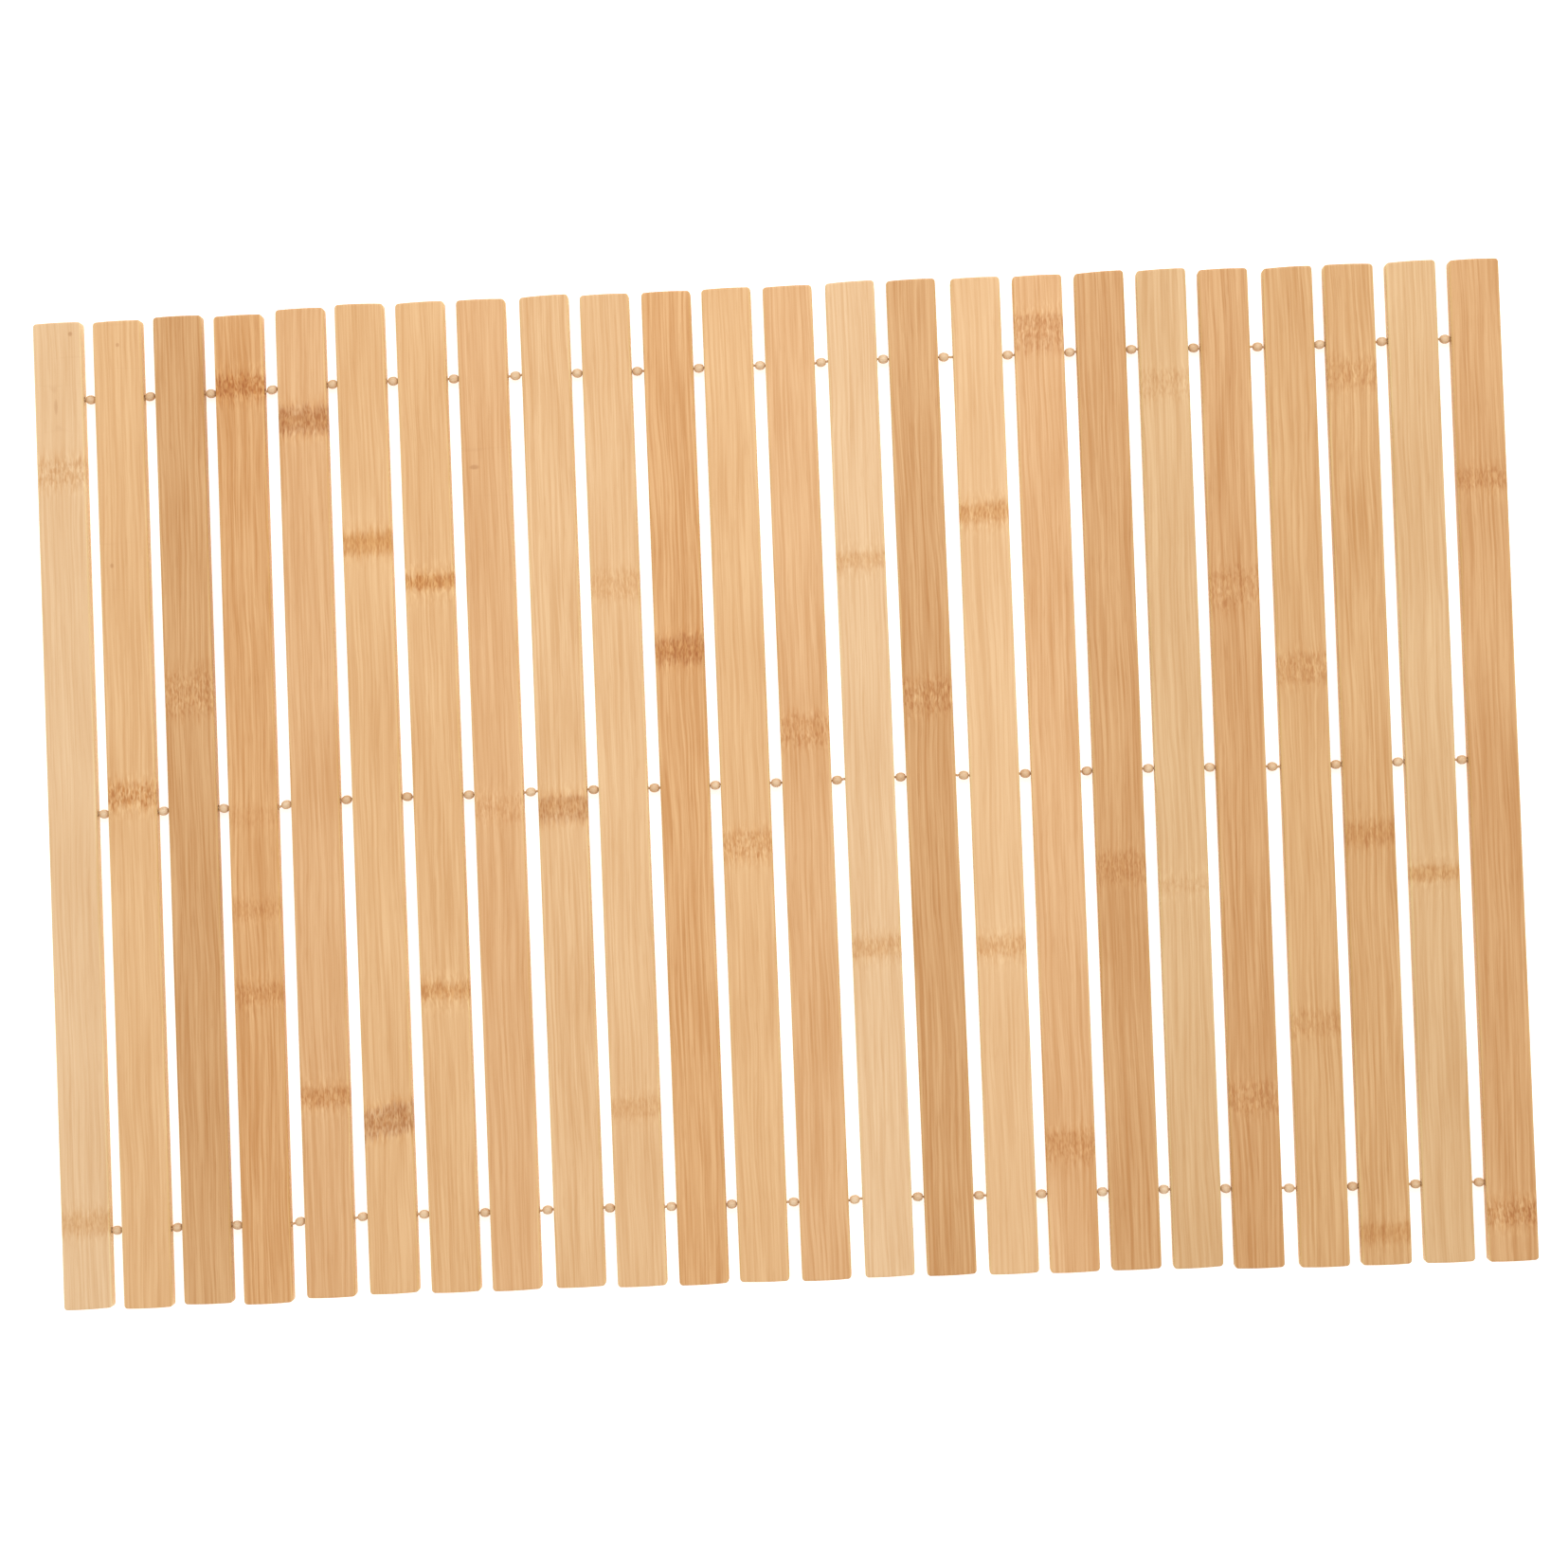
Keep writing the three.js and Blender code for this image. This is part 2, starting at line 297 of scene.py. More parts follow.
class Graph:
    """A material's node tree, built by short calls. A value in a call is a number, a colour or a socket."""

    def __init__(self, name):
        self.material = bpy.data.materials.new(name)
        self.material.use_nodes = True
        self.tree = self.material.node_tree
        self.shader = self.tree.nodes["Principled BSDF"]

    def feed(self, socket, value):
        if isinstance(value, bpy.types.NodeSocket):
            self.tree.links.new(value, socket)
        else:
            socket.default_value = value

    def add(self, kind, inputs, **settings):
        node = self.tree.nodes.new(kind)
        for name, value in settings.items():
            setattr(node, name, value)
        for key, value in inputs.items():
            self.feed(node.inputs[key], value)
        return node

    def math(self, operation, *values):
        return self.add("ShaderNodeMath", dict(enumerate(values)), operation=operation).outputs[0]

    def plus(self, *values):
        total = values[0]
        for value in values[1:]:
            total = self.math("ADD", total, value)
        return total

    def times(self, *values):
        product = values[0]
        for value in values[1:]:
            product = self.math("MULTIPLY", product, value)
        return product

    def attribute(self, name):
        return self.add("ShaderNodeAttribute", {}, attribute_name=name).outputs["Vector"]

    def split(self, vector):
        return self.add("ShaderNodeSeparateXYZ", {"Vector": vector}).outputs[:]

    def join(self, x, y, z):
        return self.add("ShaderNodeCombineXYZ", {"X": x, "Y": y, "Z": z}).outputs[0]

    def stretch(self, vector, x, y, z):
        inputs = {0: vector, 1: (x, y, z)}
        return self.add("ShaderNodeVectorMath", inputs, operation="MULTIPLY").outputs[0]

    def lengthwise(self, vector, across, along):
        """The vector scaled for a pattern drawn out along Y. across, along: how fine it is each way."""
        return self.stretch(vector, across, along, across)

    def noise(self, vector, detail=2.0, roughness=0.5):
        inputs = {"Vector": vector, "Scale": 1.0, "Detail": detail, "Roughness": roughness}
        return self.add("ShaderNodeTexNoise", inputs).outputs["Fac"]

    def swing(self, vector, detail=2.0, roughness=0.5):
        """Noise about zero."""
        return self.math("SUBTRACT", self.noise(vector, detail, roughness), 0.5)

    def smooth(self, value, low, high):
        """0 at low, 1 at high and smooth between them."""
        inputs = {"Value": value, "From Min": low, "From Max": high}
        settings = {"interpolation_type": "SMOOTHSTEP"}
        return self.add("ShaderNodeMapRange", inputs, **settings).outputs["Result"]

    def tint(self, colour, factor, tint):
        """The colour multiplied by the tint, as far as the factor says."""
        inputs = {0: factor, 6: colour, 7: tint}
        settings = {"data_type": "RGBA", "blend_type": "MULTIPLY"}
        return self.add("ShaderNodeMix", inputs, **settings).outputs[2]

    def bump(self, height, distance):
        inputs = {"Height": height, "Distance": distance, "Strength": 1.0}
        return self.add("ShaderNodeBump", inputs).outputs[0]

    def finish(self, **inputs):
        for name, value in inputs.items():
            self.feed(self.shader.inputs[name.replace("_", " ")], value)
        return self.material


# Bamboo: lengthwise fibres in three widths, and the dark flecks and stirred fibres of a node


def follow_fibres(graph, grain, near):
    """Places in the slat as its fibres have them: swaying slowly, and stirred near a bamboo node."""
    across, along, height = graph.split(grain)
    sway = graph.times(graph.swing(graph.lengthwise(grain, across=0.05, along=0.012)), FIBRE_SWAY)
    stir = graph.swing(graph.lengthwise(grain, across=0.7, along=0.16), 1)
    return graph.join(graph.plus(across, sway, graph.times(stir, near, FIBRE_STIR)), along, height)


def fibre_widths(graph, fibre):
    """Broad, medium and fine lines along the fibres."""
    broad = graph.swing(graph.lengthwise(fibre, across=0.2, along=0.01), 0)
    medium = graph.noise(graph.lengthwise(fibre, across=0.9, along=0.014), 0.5)
    fine = graph.noise(graph.lengthwise(fibre, across=1.45, along=0.025), 1)
    return broad, graph.smooth(medium, 0.34, 0.66), graph.smooth(fine, 0.34, 0.66)


def shade_fibres(graph, colour, grain, fibre, widths, lines):
    """The colour darkened by the fibres, by short dashes among them and by slow clouds."""
    broad, medium, fine = widths
    dashes = graph.smooth(graph.noise(graph.lengthwise(fibre, across=1.5, along=0.09), 1), 0.56, 0.72)
    cloud = graph.swing(graph.lengthwise(grain, across=0.02, along=0.014), 1)
    stripes = graph.plus(graph.times(medium, MEDIUM_SHARE), graph.times(fine, FINE_SHARE))
    shade = graph.plus(
        EVEN_SHARE,
        graph.times(lines, stripes),
        graph.times(broad, lines, BROAD_SHARE),
        graph.times(cloud, CLOUD_SHARE),
    )
    colour = graph.tint(colour, shade, FIBRE_TINT)
    return graph.tint(colour, graph.times(dashes, lines, DASH_SHARE), DASH_TINT)


def node_zones(graph, fibre, gap, up, down):
    """How far a point is in a bamboo node's surroundings, band and core, from 0 to 1, with ragged edges."""
    ragged = graph.swing(graph.lengthwise(fibre, across=1.1, along=0.06), 1)
    above = graph.math("DIVIDE", gap, up)
    below = graph.math("DIVIDE", gap, graph.times(down, -1))
    reached = graph.plus(graph.math("MAXIMUM", above, below), graph.times(ragged, BAND_RAGGED))
    return [graph.smooth(reached, start, full) for start, full in ZONES.values()]


def mark_strength(graph):
    """How strongly a small brown mark shows."""
    across, along, depth = graph.split(graph.attribute("mark"))
    from_middle = graph.plus(graph.times(across, across), graph.times(along, along))
    return graph.times(graph.smooth(from_middle, 1.8, 0.1), depth)


def bamboo_material():
    graph = Graph("bamboo_planed")
    grain = graph.attribute("grain")
    gap, depth, speckle = graph.split(graph.attribute("bamboo_node"))
    up, down, rose = graph.split(graph.attribute("bamboo_band"))
    share, lines = graph.split(graph.attribute("surface"))[:2]
    apart = graph.math("ABSOLUTE", gap)
    near = graph.times(graph.smooth(apart, NODE_TRACE, NODE_HEART), speckle)
    fibre = follow_fibres(graph, grain, near)
    widths = fibre_widths(graph, fibre)
    around, band, core = node_zones(graph, fibre, gap, up, down)
    halo = graph.smooth(apart, HALO_REACH, 0)
    flames = graph.smooth(graph.noise(graph.lengthwise(fibre, across=1.0, along=0.1), 1), 0.42, 0.62)
    flecks = graph.smooth(graph.noise(graph.lengthwise(fibre, across=1.5, along=0.4), 1), 0.42, 0.62)
    flecks = graph.times(flecks, band, speckle)
    glints = graph.smooth(graph.noise(graph.stretch(fibre, 1.2, 0.25, 1.4), 1), 0.46, 0.62)

    # Painted light: the rounded edges and sides are painted lighter and yellower than the top
    painted_side_light = graph.smooth(graph.math("ABSOLUTE", share), SIDE_LIGHT_START, SIDE_LIGHT_FULL)
    colour = graph.tint(graph.attribute("tone"), painted_side_light, SIDE_LIGHT_TINT)
    colour = shade_fibres(graph, colour, grain, fibre, widths, lines)
    colour = graph.tint(colour, graph.times(flames, around, speckle, FLAME_SHARE), FLAME_TINT)
    stain = graph.plus(
        graph.times(halo, HALO_SHARE), graph.times(band, BAND_SHARE), graph.times(core, CORE_SHARE)
    )
    colour = graph.tint(colour, graph.times(stain, depth), STAIN_TINT)
    colour = graph.tint(colour, flecks, FLECK_TINT)
    colour = graph.tint(colour, graph.times(rose, band, depth, ROSE_SHARE), ROSE_TINT)
    colour = graph.tint(colour, graph.times(glints, near), GLINT_TINT)
    colour = graph.tint(colour, mark_strength(graph), MARK_TINT)

    medium, fine = widths[1:]
    relief = graph.plus(graph.times(fine, 0.4), graph.times(medium, 0.3), graph.times(flecks, -0.5))
    roughness = graph.plus(BAMBOO_ROUGHNESS, graph.times(fine, 0.1), graph.times(band, depth, 0.08))
    graph.shader.inputs["Specular IOR Level"].default_value = BAMBOO_SPECULAR
    return graph.finish(Base_Color=colour, Roughness=roughness, Normal=graph.bump(relief, BAMBOO_RELIEF))


# Cord: yarn fibres that follow the twist, and painted shade deep in the grooves between its strands


def cord_material():
    graph = Graph("twisted_cord")
    lay = graph.attribute("lay")
    yarn = graph.noise(graph.stretch(lay, 9, 2.2, 1), 2, 0.6)
    patch = graph.swing(graph.stretch(lay, 0.2, 0.15, 1), 1)
    groove = graph.split(graph.attribute("groove"))[0]
    colour = graph.tint(rgba(CORD_TONE), graph.smooth(yarn, 0.35, 0.8), YARN_TINT)
    # Painted shade: the cord is darker deep in the grooves between its strands
    colour = graph.tint(colour, graph.times(groove, 0.6), GROOVE_SHADE_TINT)
    colour = graph.tint(colour, graph.plus(0.3, patch), PATCH_TINT)
    roughness = graph.plus(CORD_ROUGHNESS, graph.times(patch, 0.2))
    return graph.finish(Base_Color=colour, Roughness=roughness, Normal=graph.bump(yarn, CORD_RELIEF))


# Beads: pale close-grained wood


def bead_material():
    graph = Graph("bead_wood")
    grain = graph.attribute("grain")
    ring = graph.noise(graph.stretch(grain, 0.5, 2.2, 2.2), 2, 0.6)
    pores = graph.smooth(graph.noise(graph.stretch(grain, 1.2, 6, 6), 1), 0.6, 0.75)
    colour = graph.tint(rgba(BEAD_TONE), graph.smooth(ring, 0.3, 0.8), RING_TINT)
    colour = graph.tint(colour, graph.split(graph.attribute("darker"))[0], DARKER_TINT)
    colour = graph.tint(colour, graph.times(pores, 0.4), PORE_TINT)
    roughness = graph.plus(BEAD_ROUGHNESS, graph.times(ring, 0.2))
    return graph.finish(Base_Color=colour, Roughness=roughness, Normal=graph.bump(ring, BEAD_RELIEF))


def floor_material():
    graph = Graph("white_floor")
    tone = graph.noise(graph.add("ShaderNodeTexCoord", {}).outputs["Object"])
    colour = graph.tint(FLOOR_TONE, graph.times(tone, 0.02), FLOOR_TINT)
    graph.shader.inputs["Emission Color"].default_value = (1, 1, 1, 1)
    graph.shader.inputs["Emission Strength"].default_value = FLOOR_GLOW
    return graph.finish(Base_Color=colour, Roughness=0.9)


# Meshes


def mesh_piece(name, points, faces, material):
    """A mesh object at the origin, from points in millimetres."""
    mesh = bpy.data.meshes.new(name)
    mesh.from_pydata((np.asarray(points) * MM).tolist(), [], faces)
    mesh.update()
    piece = bpy.data.objects.new(name, mesh)
    bpy.context.scene.collection.objects.link(piece)
    mesh.materials.append(material)
    return piece


def smooth_faces(mesh):
    mesh.polygons.foreach_set("use_smooth", np.ones(len(mesh.polygons), bool))
    mesh.set_sharp_from_angle(angle=SMOOTH_BELOW)


def store(mesh, name, vectors):
    """Keeps a vector for each point of the mesh, for its material."""
    attribute = mesh.attributes.new(name, "FLOAT_VECTOR", "POINT")
    attribute.data.foreach_set("vector", np.asarray(vectors, np.float32).ravel())


def dress(piece, slot, *nodes):
    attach(piece, "root")
    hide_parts(*nodes)


# Slats


End = namedtuple("End", "x y skew")
Slat = namedtuple("Slat", "lower upper width length thickness middle")


def node_points(name):
    return np.array([v.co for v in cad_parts[name].data.vertices]) / MM


def read_end(points, side):
    """Where a slat's end lies and how far it is cut askew. side: 1 for the upper end, -1 for the lower."""
    reach = side * points[:, 1]
    near = points[reach > reach.max() - END_WINDOW]
    x = (near[:, 0].min() + near[:, 0].max()) / 2
    left, right = (
        half[np.argmax(side * half[:, 1])] for half in (near[near[:, 0] < x], near[near[:, 0] > x])
    )
    return End(x, (left[1] + right[1]) / 2, (right[1] - left[1]) / (right[0] - left[0]))


def read_slat(name):
    points = node_points(name)
    lower = read_end(points, -1)
    upper = read_end(points, 1)
    near = points[points[:, 1] > upper.y - END_WINDOW]
    width = near[:, 0].max() - near[:, 0].min()
    thickness = points[:, 2].max() - points[:, 2].min()
    return Slat(lower, upper, width, upper.y - lower.y, thickness, (lower.y + upper.y) / 2)


def line_x(slat, along):
    """Where a slat's middle line lies across the mat."""
    return slat.lower.x + (slat.upper.x - slat.lower.x) * (along / slat.length + 0.5)


def placed(slat, across, along, height):
    """Points of the mat, from places across, along and above a slat."""
    skew = np.where(along > 0, slat.upper.skew, slat.lower.skew)
    grip = np.clip((np.abs(along) - slat.length / 2) / SKEW_REACH + 1, 0, 1)
    crown = END_CROWN * (2 * across / slat.width) ** 2 * np.sign(along)
    x = line_x(slat, along) + across
    y = slat.middle + along + grip * (skew * across - crown)
    return np.stack([x, y, height], -1)


def inset(depth, radius):
    """How far a rounded edge has drawn in at a depth below its top."""
    return radius - np.sqrt(radius**2 - np.clip(radius - depth, 0, radius) ** 2)


def height_rows(slat):
    """Heights of the points up a slat's side, as shares of half its thickness."""
    half = slat.thickness / 2
    upper = [1 - EDGE_EASE * (1 - math.sin(math.radians(angle))) / half for angle in EASE_ANGLES]
    upper = [SIDE_SUPPORT, *upper]
    return np.array([-share for share in reversed(upper)] + [0] + upper)


def section(slat, rows, from_end):
    """A slat's outline that far from its end: half its width at each row, and each row's height."""
    half = slat.thickness / 2
    heights = rows * (half - inset(from_end, EDGE_EASE))
    drawn_in = inset(half - np.abs(heights), EDGE_EASE)
    corner = CORNER_RADIUS - drawn_in
    gone = np.clip(CORNER_RADIUS - from_end, 0, corner)
    widths = slat.width / 2 - drawn_in - (corner - np.sqrt(corner**2 - gone**2))
    return widths, heights


def stations(slat, bamboo_nodes):
    """Places along a slat where it has a section: close at its rounded ends and at its bamboo nodes."""
    half = slat.length / 2
    turns = np.linspace(0, math.pi / 2, CORNER_STEPS)
    ends = half - CORNER_RADIUS * (1 - np.cos(turns))
    inner = np.arange(-half + STATION_STEP, half - STATION_STEP / 2, STATION_STEP)
    close = [node.place + step for node in bamboo_nodes for step in HOLLOW_STATIONS]
    close = [place for place in close if abs(place) < half - CORNER_RADIUS]
    places = np.round(np.concatenate([-ends, ends, inner, close]), 3)
    return np.unique(places)


def node_gaps(bamboo_nodes, across, along):
    """How far each point lies above its nearest bamboo node, and which node that is."""
    gaps = np.array([along - node.place - node.slant * across for node in bamboo_nodes])
    nearest = np.argmin(np.abs(gaps), axis=0)
    return gaps[nearest, np.arange(len(along))], nearest


def slat_shape(slat, bamboo_nodes):
    """Points and faces of a slat without holes: rings of points along it, closed by a grid at each end."""
    rows = height_rows(slat)
    columns = np.array(COLUMNS)
    places = stations(slat, bamboo_nodes)
    across, height = [], []
    for place in places:
        widths, heights = section(slat, rows, slat.length / 2 - abs(place))
        flat = columns * widths[-1]
        across += [*flat, *widths[1:-1], *flat[::-1], *-widths[-2:0:-1]]
        height += [*np.full(len(flat), heights[0]), *heights[1:-1], *np.full(len(flat), heights[-1])]
        height += [*heights[-2:0:-1]]
    around = 2 * (len(columns) + len(rows) - 2)
    along = np.repeat(places, around)
    across, height = np.array(across), np.array(height)

    gap, nearest = node_gaps(bamboo_nodes, across, along)
    depths = np.array([max(node.depth, node.flecks) for node in bamboo_nodes])[nearest]
    height *= 1 - HOLLOW_DEPTH * depths * np.exp(-((gap / HOLLOW_REACH) ** 2)) / (slat.thickness / 2)

    faces = []
    for ring in range(len(places) - 1):
        for step in range(around):
            a = ring * around + step
            b = ring * around + (step + 1) % around
            faces.append((a, a + around, b + around, b))

    points = [*zip(across, along, height)]
    for start, flip in ((0, False), ((len(places) - 1) * around, True)):
        grid = end_grid(start, len(columns), len(rows), points)
        for i in range(len(columns) - 1):
            for j in range(len(rows) - 1):
                face = (grid[i][j], grid[i + 1][j], grid[i + 1][j + 1], grid[i][j + 1])
                faces.append(face[::-1] if flip else face)
    points = np.array(points)
    points = placed(slat, points[:, 0], points[:, 1], points[:, 2] + slat.thickness / 2)
    return points, faces


def end_grid(start, wide, high, points):
    """An end's points by column and row: its rim is a ring that exists already, and its inside is added."""
    right = start + wide
    top = right + high - 2
    left = top + wide
    grid = [[None] * high for _ in range(wide)]
    for i in range(wide):
        grid[i][0] = start + i
        grid[i][high - 1] = top + wide - 1 - i
    for j in range(1, high - 1):
        grid[wide - 1][j] = right + j - 1
        grid[0][j] = left + high - 2 - j
    for i in range(1, wide - 1):
        for j in range(1, high - 1):
            below, beside = points[grid[i][0]], points[grid[0][j]]
            grid[i][j] = len(points)
            points.append((below[0], below[1], beside[2]))
    return grid


def drill(name, slat, from_x, to_x):
    """Round bars that cut a slat's three holes, reaching from one place across it to another."""
    turns = np.linspace(0, 2 * math.pi, HOLE_SIDES, endpoint=False)
    points, faces = [], []
    for place in ROWS.values():
        start = len(points)
        for x in (from_x, to_x):
            for turn in turns:
                y = slat.middle + place + HOLE_RADIUS * math.cos(turn)
                z = slat.thickness / 2 + HOLE_RADIUS * math.sin(turn)
                points.append((line_x(slat, place) + x, y, z))
        near = [start + side for side in range(HOLE_SIDES)]
        far = [side + HOLE_SIDES for side in near]
        faces += [near[::-1], far]
        for side in range(HOLE_SIDES):
            after = (side + 1) % HOLE_SIDES
            faces.append((near[side], near[after], far[after], far[side]))
    return mesh_piece(name, points, faces, None)


def cut_holes(piece, drills):
    cut = piece.modifiers.new("holes", "BOOLEAN")
    cut.operation = "DIFFERENCE"
    cut.solver = "EXACT"
    cut.object = drills
    bpy.context.view_layer.update()
    shaped = piece.evaluated_get(bpy.context.evaluated_depsgraph_get())
    mesh = bpy.data.meshes.new_from_object(shaped)
    piece.modifiers.clear()
    piece.data = mesh
    bpy.data.objects.remove(drills)
    return mesh


def mark_places(marks, across, along):
    """Where each point lies in the mark that is near it, in the mark's half sizes, and the mark's depth."""
    places = np.zeros((len(along), 3))
    for mark in marks:
        near = np.abs(along - mark.place) < MARK_TRACE
        places[near, 0] = (across[near] - mark.across) / mark.width
        places[near, 1] = (along[near] - mark.place) / mark.height
        places[near, 2] = mark.depth
    return places


def paint_slat(mesh, slat, index):
    """Stores what the bamboo material reads: places in the slat, its tone and each point's bamboo node."""
    row = SLATS[index]
    points = np.array([v.co for v in mesh.vertices]) / MM
    along = points[:, 1] - slat.middle
    across = points[:, 0] - line_x(slat, along)
    height = points[:, 2] - slat.thickness / 2
    offset = np.array(PATTERN_OFFSET) * index
    store(mesh, "grain", np.stack([across, along, height], 1) + offset)
    store(mesh, "tone", np.tile(linear(TONES[row["tone"]]), (len(points), 1)))
    gap, nearest = node_gaps(row["nodes"], across, along)
    fields = ("depth", "flecks", "up", "down", "rose")
    depth, flecks, up, down, rose = (
        np.array([getattr(node, field) for node in row["nodes"]])[nearest] for field in fields
    )
    traced = np.abs(gap) < NODE_TRACE
    # share: where a point lies across the slat, which the material also uses for the painted light on the
    # sides
    share = 2 * across / slat.width
    store(mesh, "bamboo_node", np.stack([gap, depth * traced, flecks * traced], 1))
    store(mesh, "bamboo_band", np.stack([up, down, rose], 1))
    store(mesh, "surface", np.stack([share, np.full(len(gap), row["lines"]), np.zeros(len(gap))], 1))
    store(mesh, "mark", mark_places(row.get("marks", []), across, along))


def make_slat(index, material):
    node = f"slat_{index + 1:02d}"
    slat = read_slat(node)
    points, faces = slat_shape(slat, SLATS[index]["nodes"])
    piece = mesh_piece(f"bamboo_{node}", points, faces, material)
    outside = slat.width / 2 + HOLE_OVERRUN
    blind_end = slat.width / 2 - BLIND_HOLE_DEPTH
    from_x = blind_end if index == 0 else -outside
    to_x = -blind_end if index == LAST else outside
    mesh = cut_holes(piece, drill("drills", slat, from_x, to_x))
    paint_slat(mesh, slat, index)
    smooth_faces(mesh)
    dress(piece, "bamboo", node)
    return slat


# Beads and cords


Bead = namedtuple("Bead", "x left right")


def read_cord(name, place, slats):
    """The two ends of a packed cord and its beads' middles, each with the gap it lies in."""
    points = node_points(name)
    beads = []
    for before, after in zip(slats, slats[1:]):
        left = line_x(before, place) + before.width / 2
        right = line_x(after, place) - after.width / 2
        inside = points[(points[:, 0] > left) & (points[:, 0] < right)]
        beads.append(Bead((inside[:, 0].min() + inside[:, 0].max()) / 2, left, right))
    return points[:, 0].min(), points[:, 0].max(), beads


def cord_route(place, slats, beads):
    """A function for how far along Y the cord lies at x: level in each slat and slanting across each gap."""
    xs, ys = [], []
    for bead, before, after in zip(beads, slats, slats[1:]):
        xs += [bead.left, bead.right]
        ys += [before.middle + place, after.middle + place]
    return lambda x: np.interp(x, xs, ys)


def cord_stations(start, end, beads):
    """Places along a cord: close together where it shows, and far apart inside the slats."""
    places = [start]
    edges = [start]
    for bead in beads:
        edges += [bead.left - CORD_SHOWS, bead.right + CORD_SHOWS]
    edges.append(end)
    for number, (low, high) in enumerate(zip(edges, edges[1:])):
        step = CORD_STEP_OUTSIDE if number % 2 else CORD_STEP_INSIDE
        count = math.ceil((high - low) / step)
        places += [low + (high - low) * (k + 1) / count for k in range(count)]
    return np.array(places)


def strand_outline(turn):
    """The radius of three touching strands at an angle, and how deep that lies in a groove, from 0 to 1."""
    third = 2 * math.pi / 3
    off = (turn + third / 2) % third - third / 2
    radius = STRAND_OFFSET * np.cos(off)
    radius += np.sqrt(np.maximum(STRAND_RADIUS**2 - (STRAND_OFFSET * np.sin(off)) ** 2, 0))
    radius = np.maximum(radius, GROOVE_RADIUS)
    return radius, (CORD_RADIUS - radius) / (CORD_RADIUS - GROOVE_RADIUS)


def make_cord(row, place, slats, material):
    node = f"beaded_cord_{row}"
    start, end, beads = read_cord(node, place, slats)
    route = cord_route(place, slats, beads)
    places = cord_stations(start, end, beads)
    turns = np.linspace(0, 2 * math.pi, CORD_SIDES, endpoint=False)
    x, turn = np.meshgrid(places, turns, indexing="ij")
    radius, groove = strand_outline(turn + x * CORD_TWIST)
    middle = slats[0].thickness / 2
    y = route(x) + radius * np.cos(turn)
    z = middle + radius * np.sin(turn)
    points = [*np.stack([x, y, z], -1).reshape(-1, 3)]
    faces = []
    for ring in range(len(places) - 1):
        for side in range(CORD_SIDES):
            a = ring * CORD_SIDES + side
            b = ring * CORD_SIDES + (side + 1) % CORD_SIDES
            faces.append((a, b, b + CORD_SIDES, a + CORD_SIDES))
    last = (len(places) - 1) * CORD_SIDES
    for rim, tip_x, flip in ((0, start, True), (last, end, False)):
        tip = len(points)
        points.append(np.array([tip_x, route(tip_x), middle]))
        for side in range(CORD_SIDES):
            face = (rim + side, rim + (side + 1) % CORD_SIDES, tip)
            faces.append(face[::-1] if flip else face)
    piece = mesh_piece(f"twisted_cord_{row}", points, faces, material)
    smooth_faces(piece.data)
    lay = np.stack([(turn + x * CORD_TWIST * 2) * CORD_RADIUS, x, np.zeros_like(x)], -1).reshape(-1, 3)
    store(piece.data, "lay", np.concatenate([lay, lay[:1], lay[-1:]]))
    # How deep each point lies in a groove, for the painted shade there
    deep = np.repeat(groove.reshape(-1, 1), 3, axis=1)
    store(piece.data, "groove", np.concatenate([deep, deep[:1], deep[-1:]]))
    dress(piece, "cord", node)
    return beads, route


def bead_profile():
    """Half of a bead's long section, its round outside and then its bore, as places along it and radii."""
    end_turn = math.acos(BEAD_HALF_LENGTH / BEAD_STRETCH / BEAD_RADIUS)
    turns = np.linspace(math.pi - end_turn, end_turn, BEAD_ARC_STEPS)
    outside = [
        (BEAD_STRETCH * BEAD_RADIUS * math.cos(turn), BEAD_RADIUS * math.sin(turn)) for turn in turns
    ]
    rim = BEAD_HALF_LENGTH - BEAD_RIM
    bore = [(BEAD_HALF_LENGTH, BEAD_BORE + BEAD_RIM), (rim, BEAD_BORE), (0, BEAD_BORE)]
    return outside + bore + [(-rim, BEAD_BORE), (-BEAD_HALF_LENGTH, BEAD_BORE + BEAD_RIM)]


def bead_shape():
    """Points and faces of one bead about the origin, with its bore along X."""
    profile = bead_profile()
    points, faces = [], []
    for side in range(BEAD_SIDES):
        turn = 2 * math.pi * side / BEAD_SIDES
        points += [(x, r * math.cos(turn), r * math.sin(turn)) for x, r in profile]
    count = len(profile)
    for side in range(BEAD_SIDES):
        this, after = side * count, (side + 1) % BEAD_SIDES * count
        for k in range(count):
            following = (k + 1) % count
            faces.append((this + k, this + following, after + following, after + k))
    return np.array(points), faces


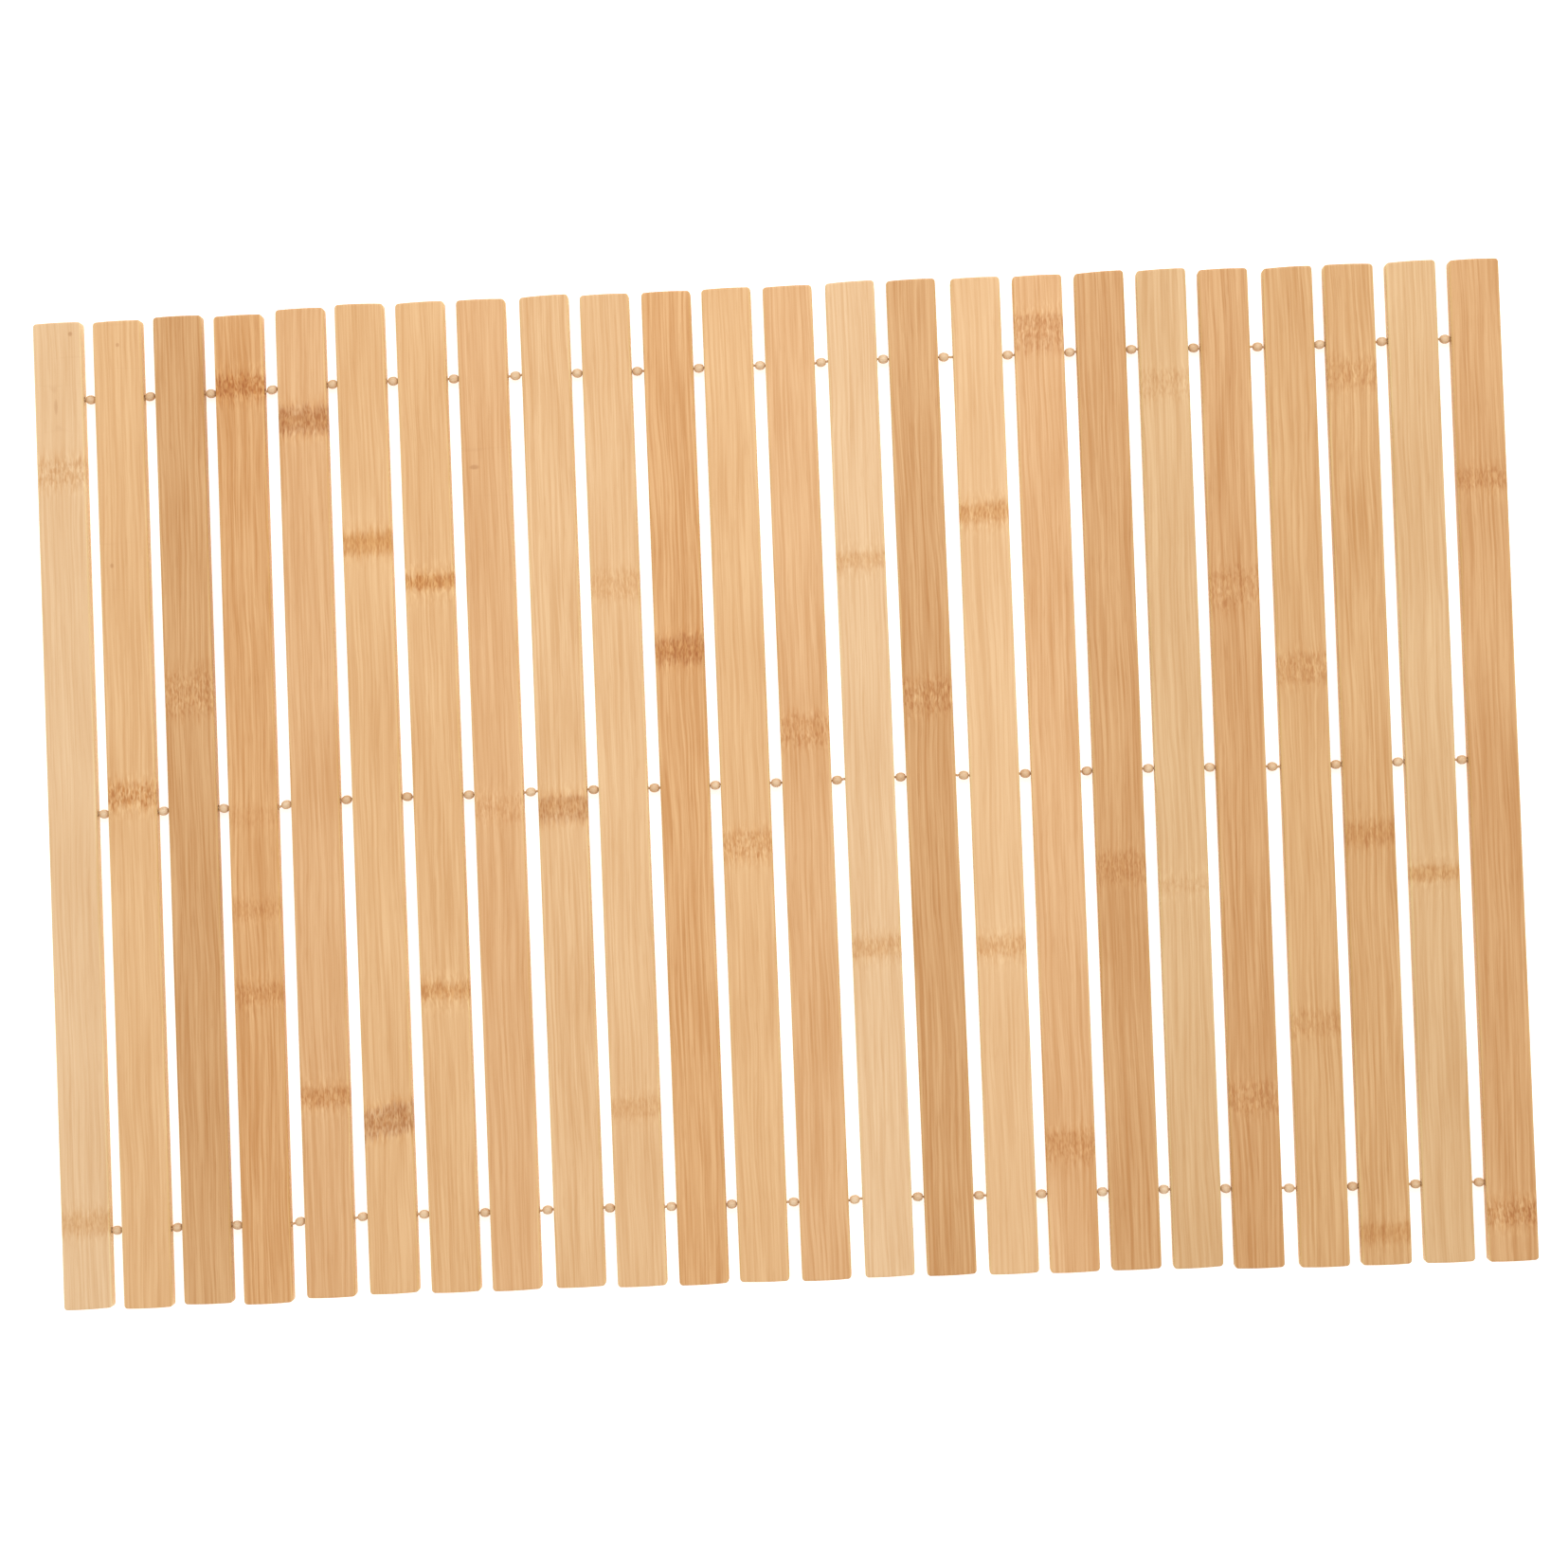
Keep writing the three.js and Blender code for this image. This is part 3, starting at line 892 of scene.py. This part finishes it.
def make_beads(row, number, beads, route, height, material):
    """All the beads of one row, each turned its own way on the cord."""
    chance = np.random.default_rng(number)
    shape, shape_faces = bead_shape()
    points, faces, grain, darker = [], [], [], []
    for bead in beads:
        slope = math.atan2(route(bead.x + 1) - route(bead.x - 1), 2)
        turned = Matrix.Rotation(slope, 3, "Z") @ Matrix.Rotation(chance.uniform(0, 2 * math.pi), 3, "X")
        start = len(points) * len(shape)
        points.append(shape @ np.array(turned).T + (bead.x, route(bead.x), height))
        faces += [tuple(start + k for k in face) for face in shape_faces]
        grain.append(shape + chance.uniform(0, 100, 3))
        darker.append(np.full(shape.shape, chance.uniform(0, 1)))
    piece = mesh_piece(f"wooden_beads_{row}", np.concatenate(points), faces, material)
    smooth_faces(piece.data)
    store(piece.data, "grain", np.concatenate(grain))
    store(piece.data, "darker", np.concatenate(darker))
    dress(piece, "bead", f"beaded_cord_{row}")


# Floor, light and camera


def make_floor():
    half = FLOOR_SIZE / 2
    corners = [(-half, -half), (half, -half), (half, half), (-half, half)]
    points = [(x, y, -FLOOR_DROP) for x, y in corners]
    floor = mesh_piece("floor", points, [(0, 1, 2, 3)], floor_material())


def make_light():
    world = bpy.data.worlds.new("studio")
    world.use_nodes = True
    sky = world.node_tree.nodes["Background"]
    sky.inputs["Color"].default_value = (1, 1, 1, 1)
    sky.inputs["Strength"].default_value = SKY_STRENGTH
    bpy.context.scene.world = world
    light = bpy.data.lights.new("soft_lamp", "AREA")
    light.energy = LAMP_POWER
    light.size = LAMP_SIZE
    lamp = bpy.data.objects.new("soft_lamp", light)
    lamp.location = LAMP_PLACE
    lamp.rotation_euler = Vector(LAMP_PLACE).to_track_quat("Z", "Y").to_euler()
    lamp.visible_camera = False
    bpy.context.scene.collection.objects.link(lamp)


def make_camera():
    camera = bpy.data.objects.new("camera", bpy.data.cameras.new("camera"))
    camera.data.lens = LENS
    camera.rotation_mode = "YXZ"
    camera.location = CAMERA_PLACE
    camera.rotation_euler = (CAMERA_TILT, CAMERA_LEAN, CAMERA_ROLL)
    bpy.context.scene.collection.objects.link(camera)
    bpy.context.scene.camera = camera


def main():
    view = bpy.context.scene.view_settings
    view.view_transform = "Standard"
    view.look = "None"
    make_camera()
    make_light()
    make_floor()
    bamboo = bamboo_material()
    slats = [make_slat(index, bamboo) for index in range(LAST + 1)]
    cord, bead = cord_material(), bead_material()
    for number, (row, place) in enumerate(ROWS.items()):
        beads, route = make_cord(row, place, slats, cord)
        make_beads(row, number, beads, route, slats[0].thickness / 2, bead)


main()
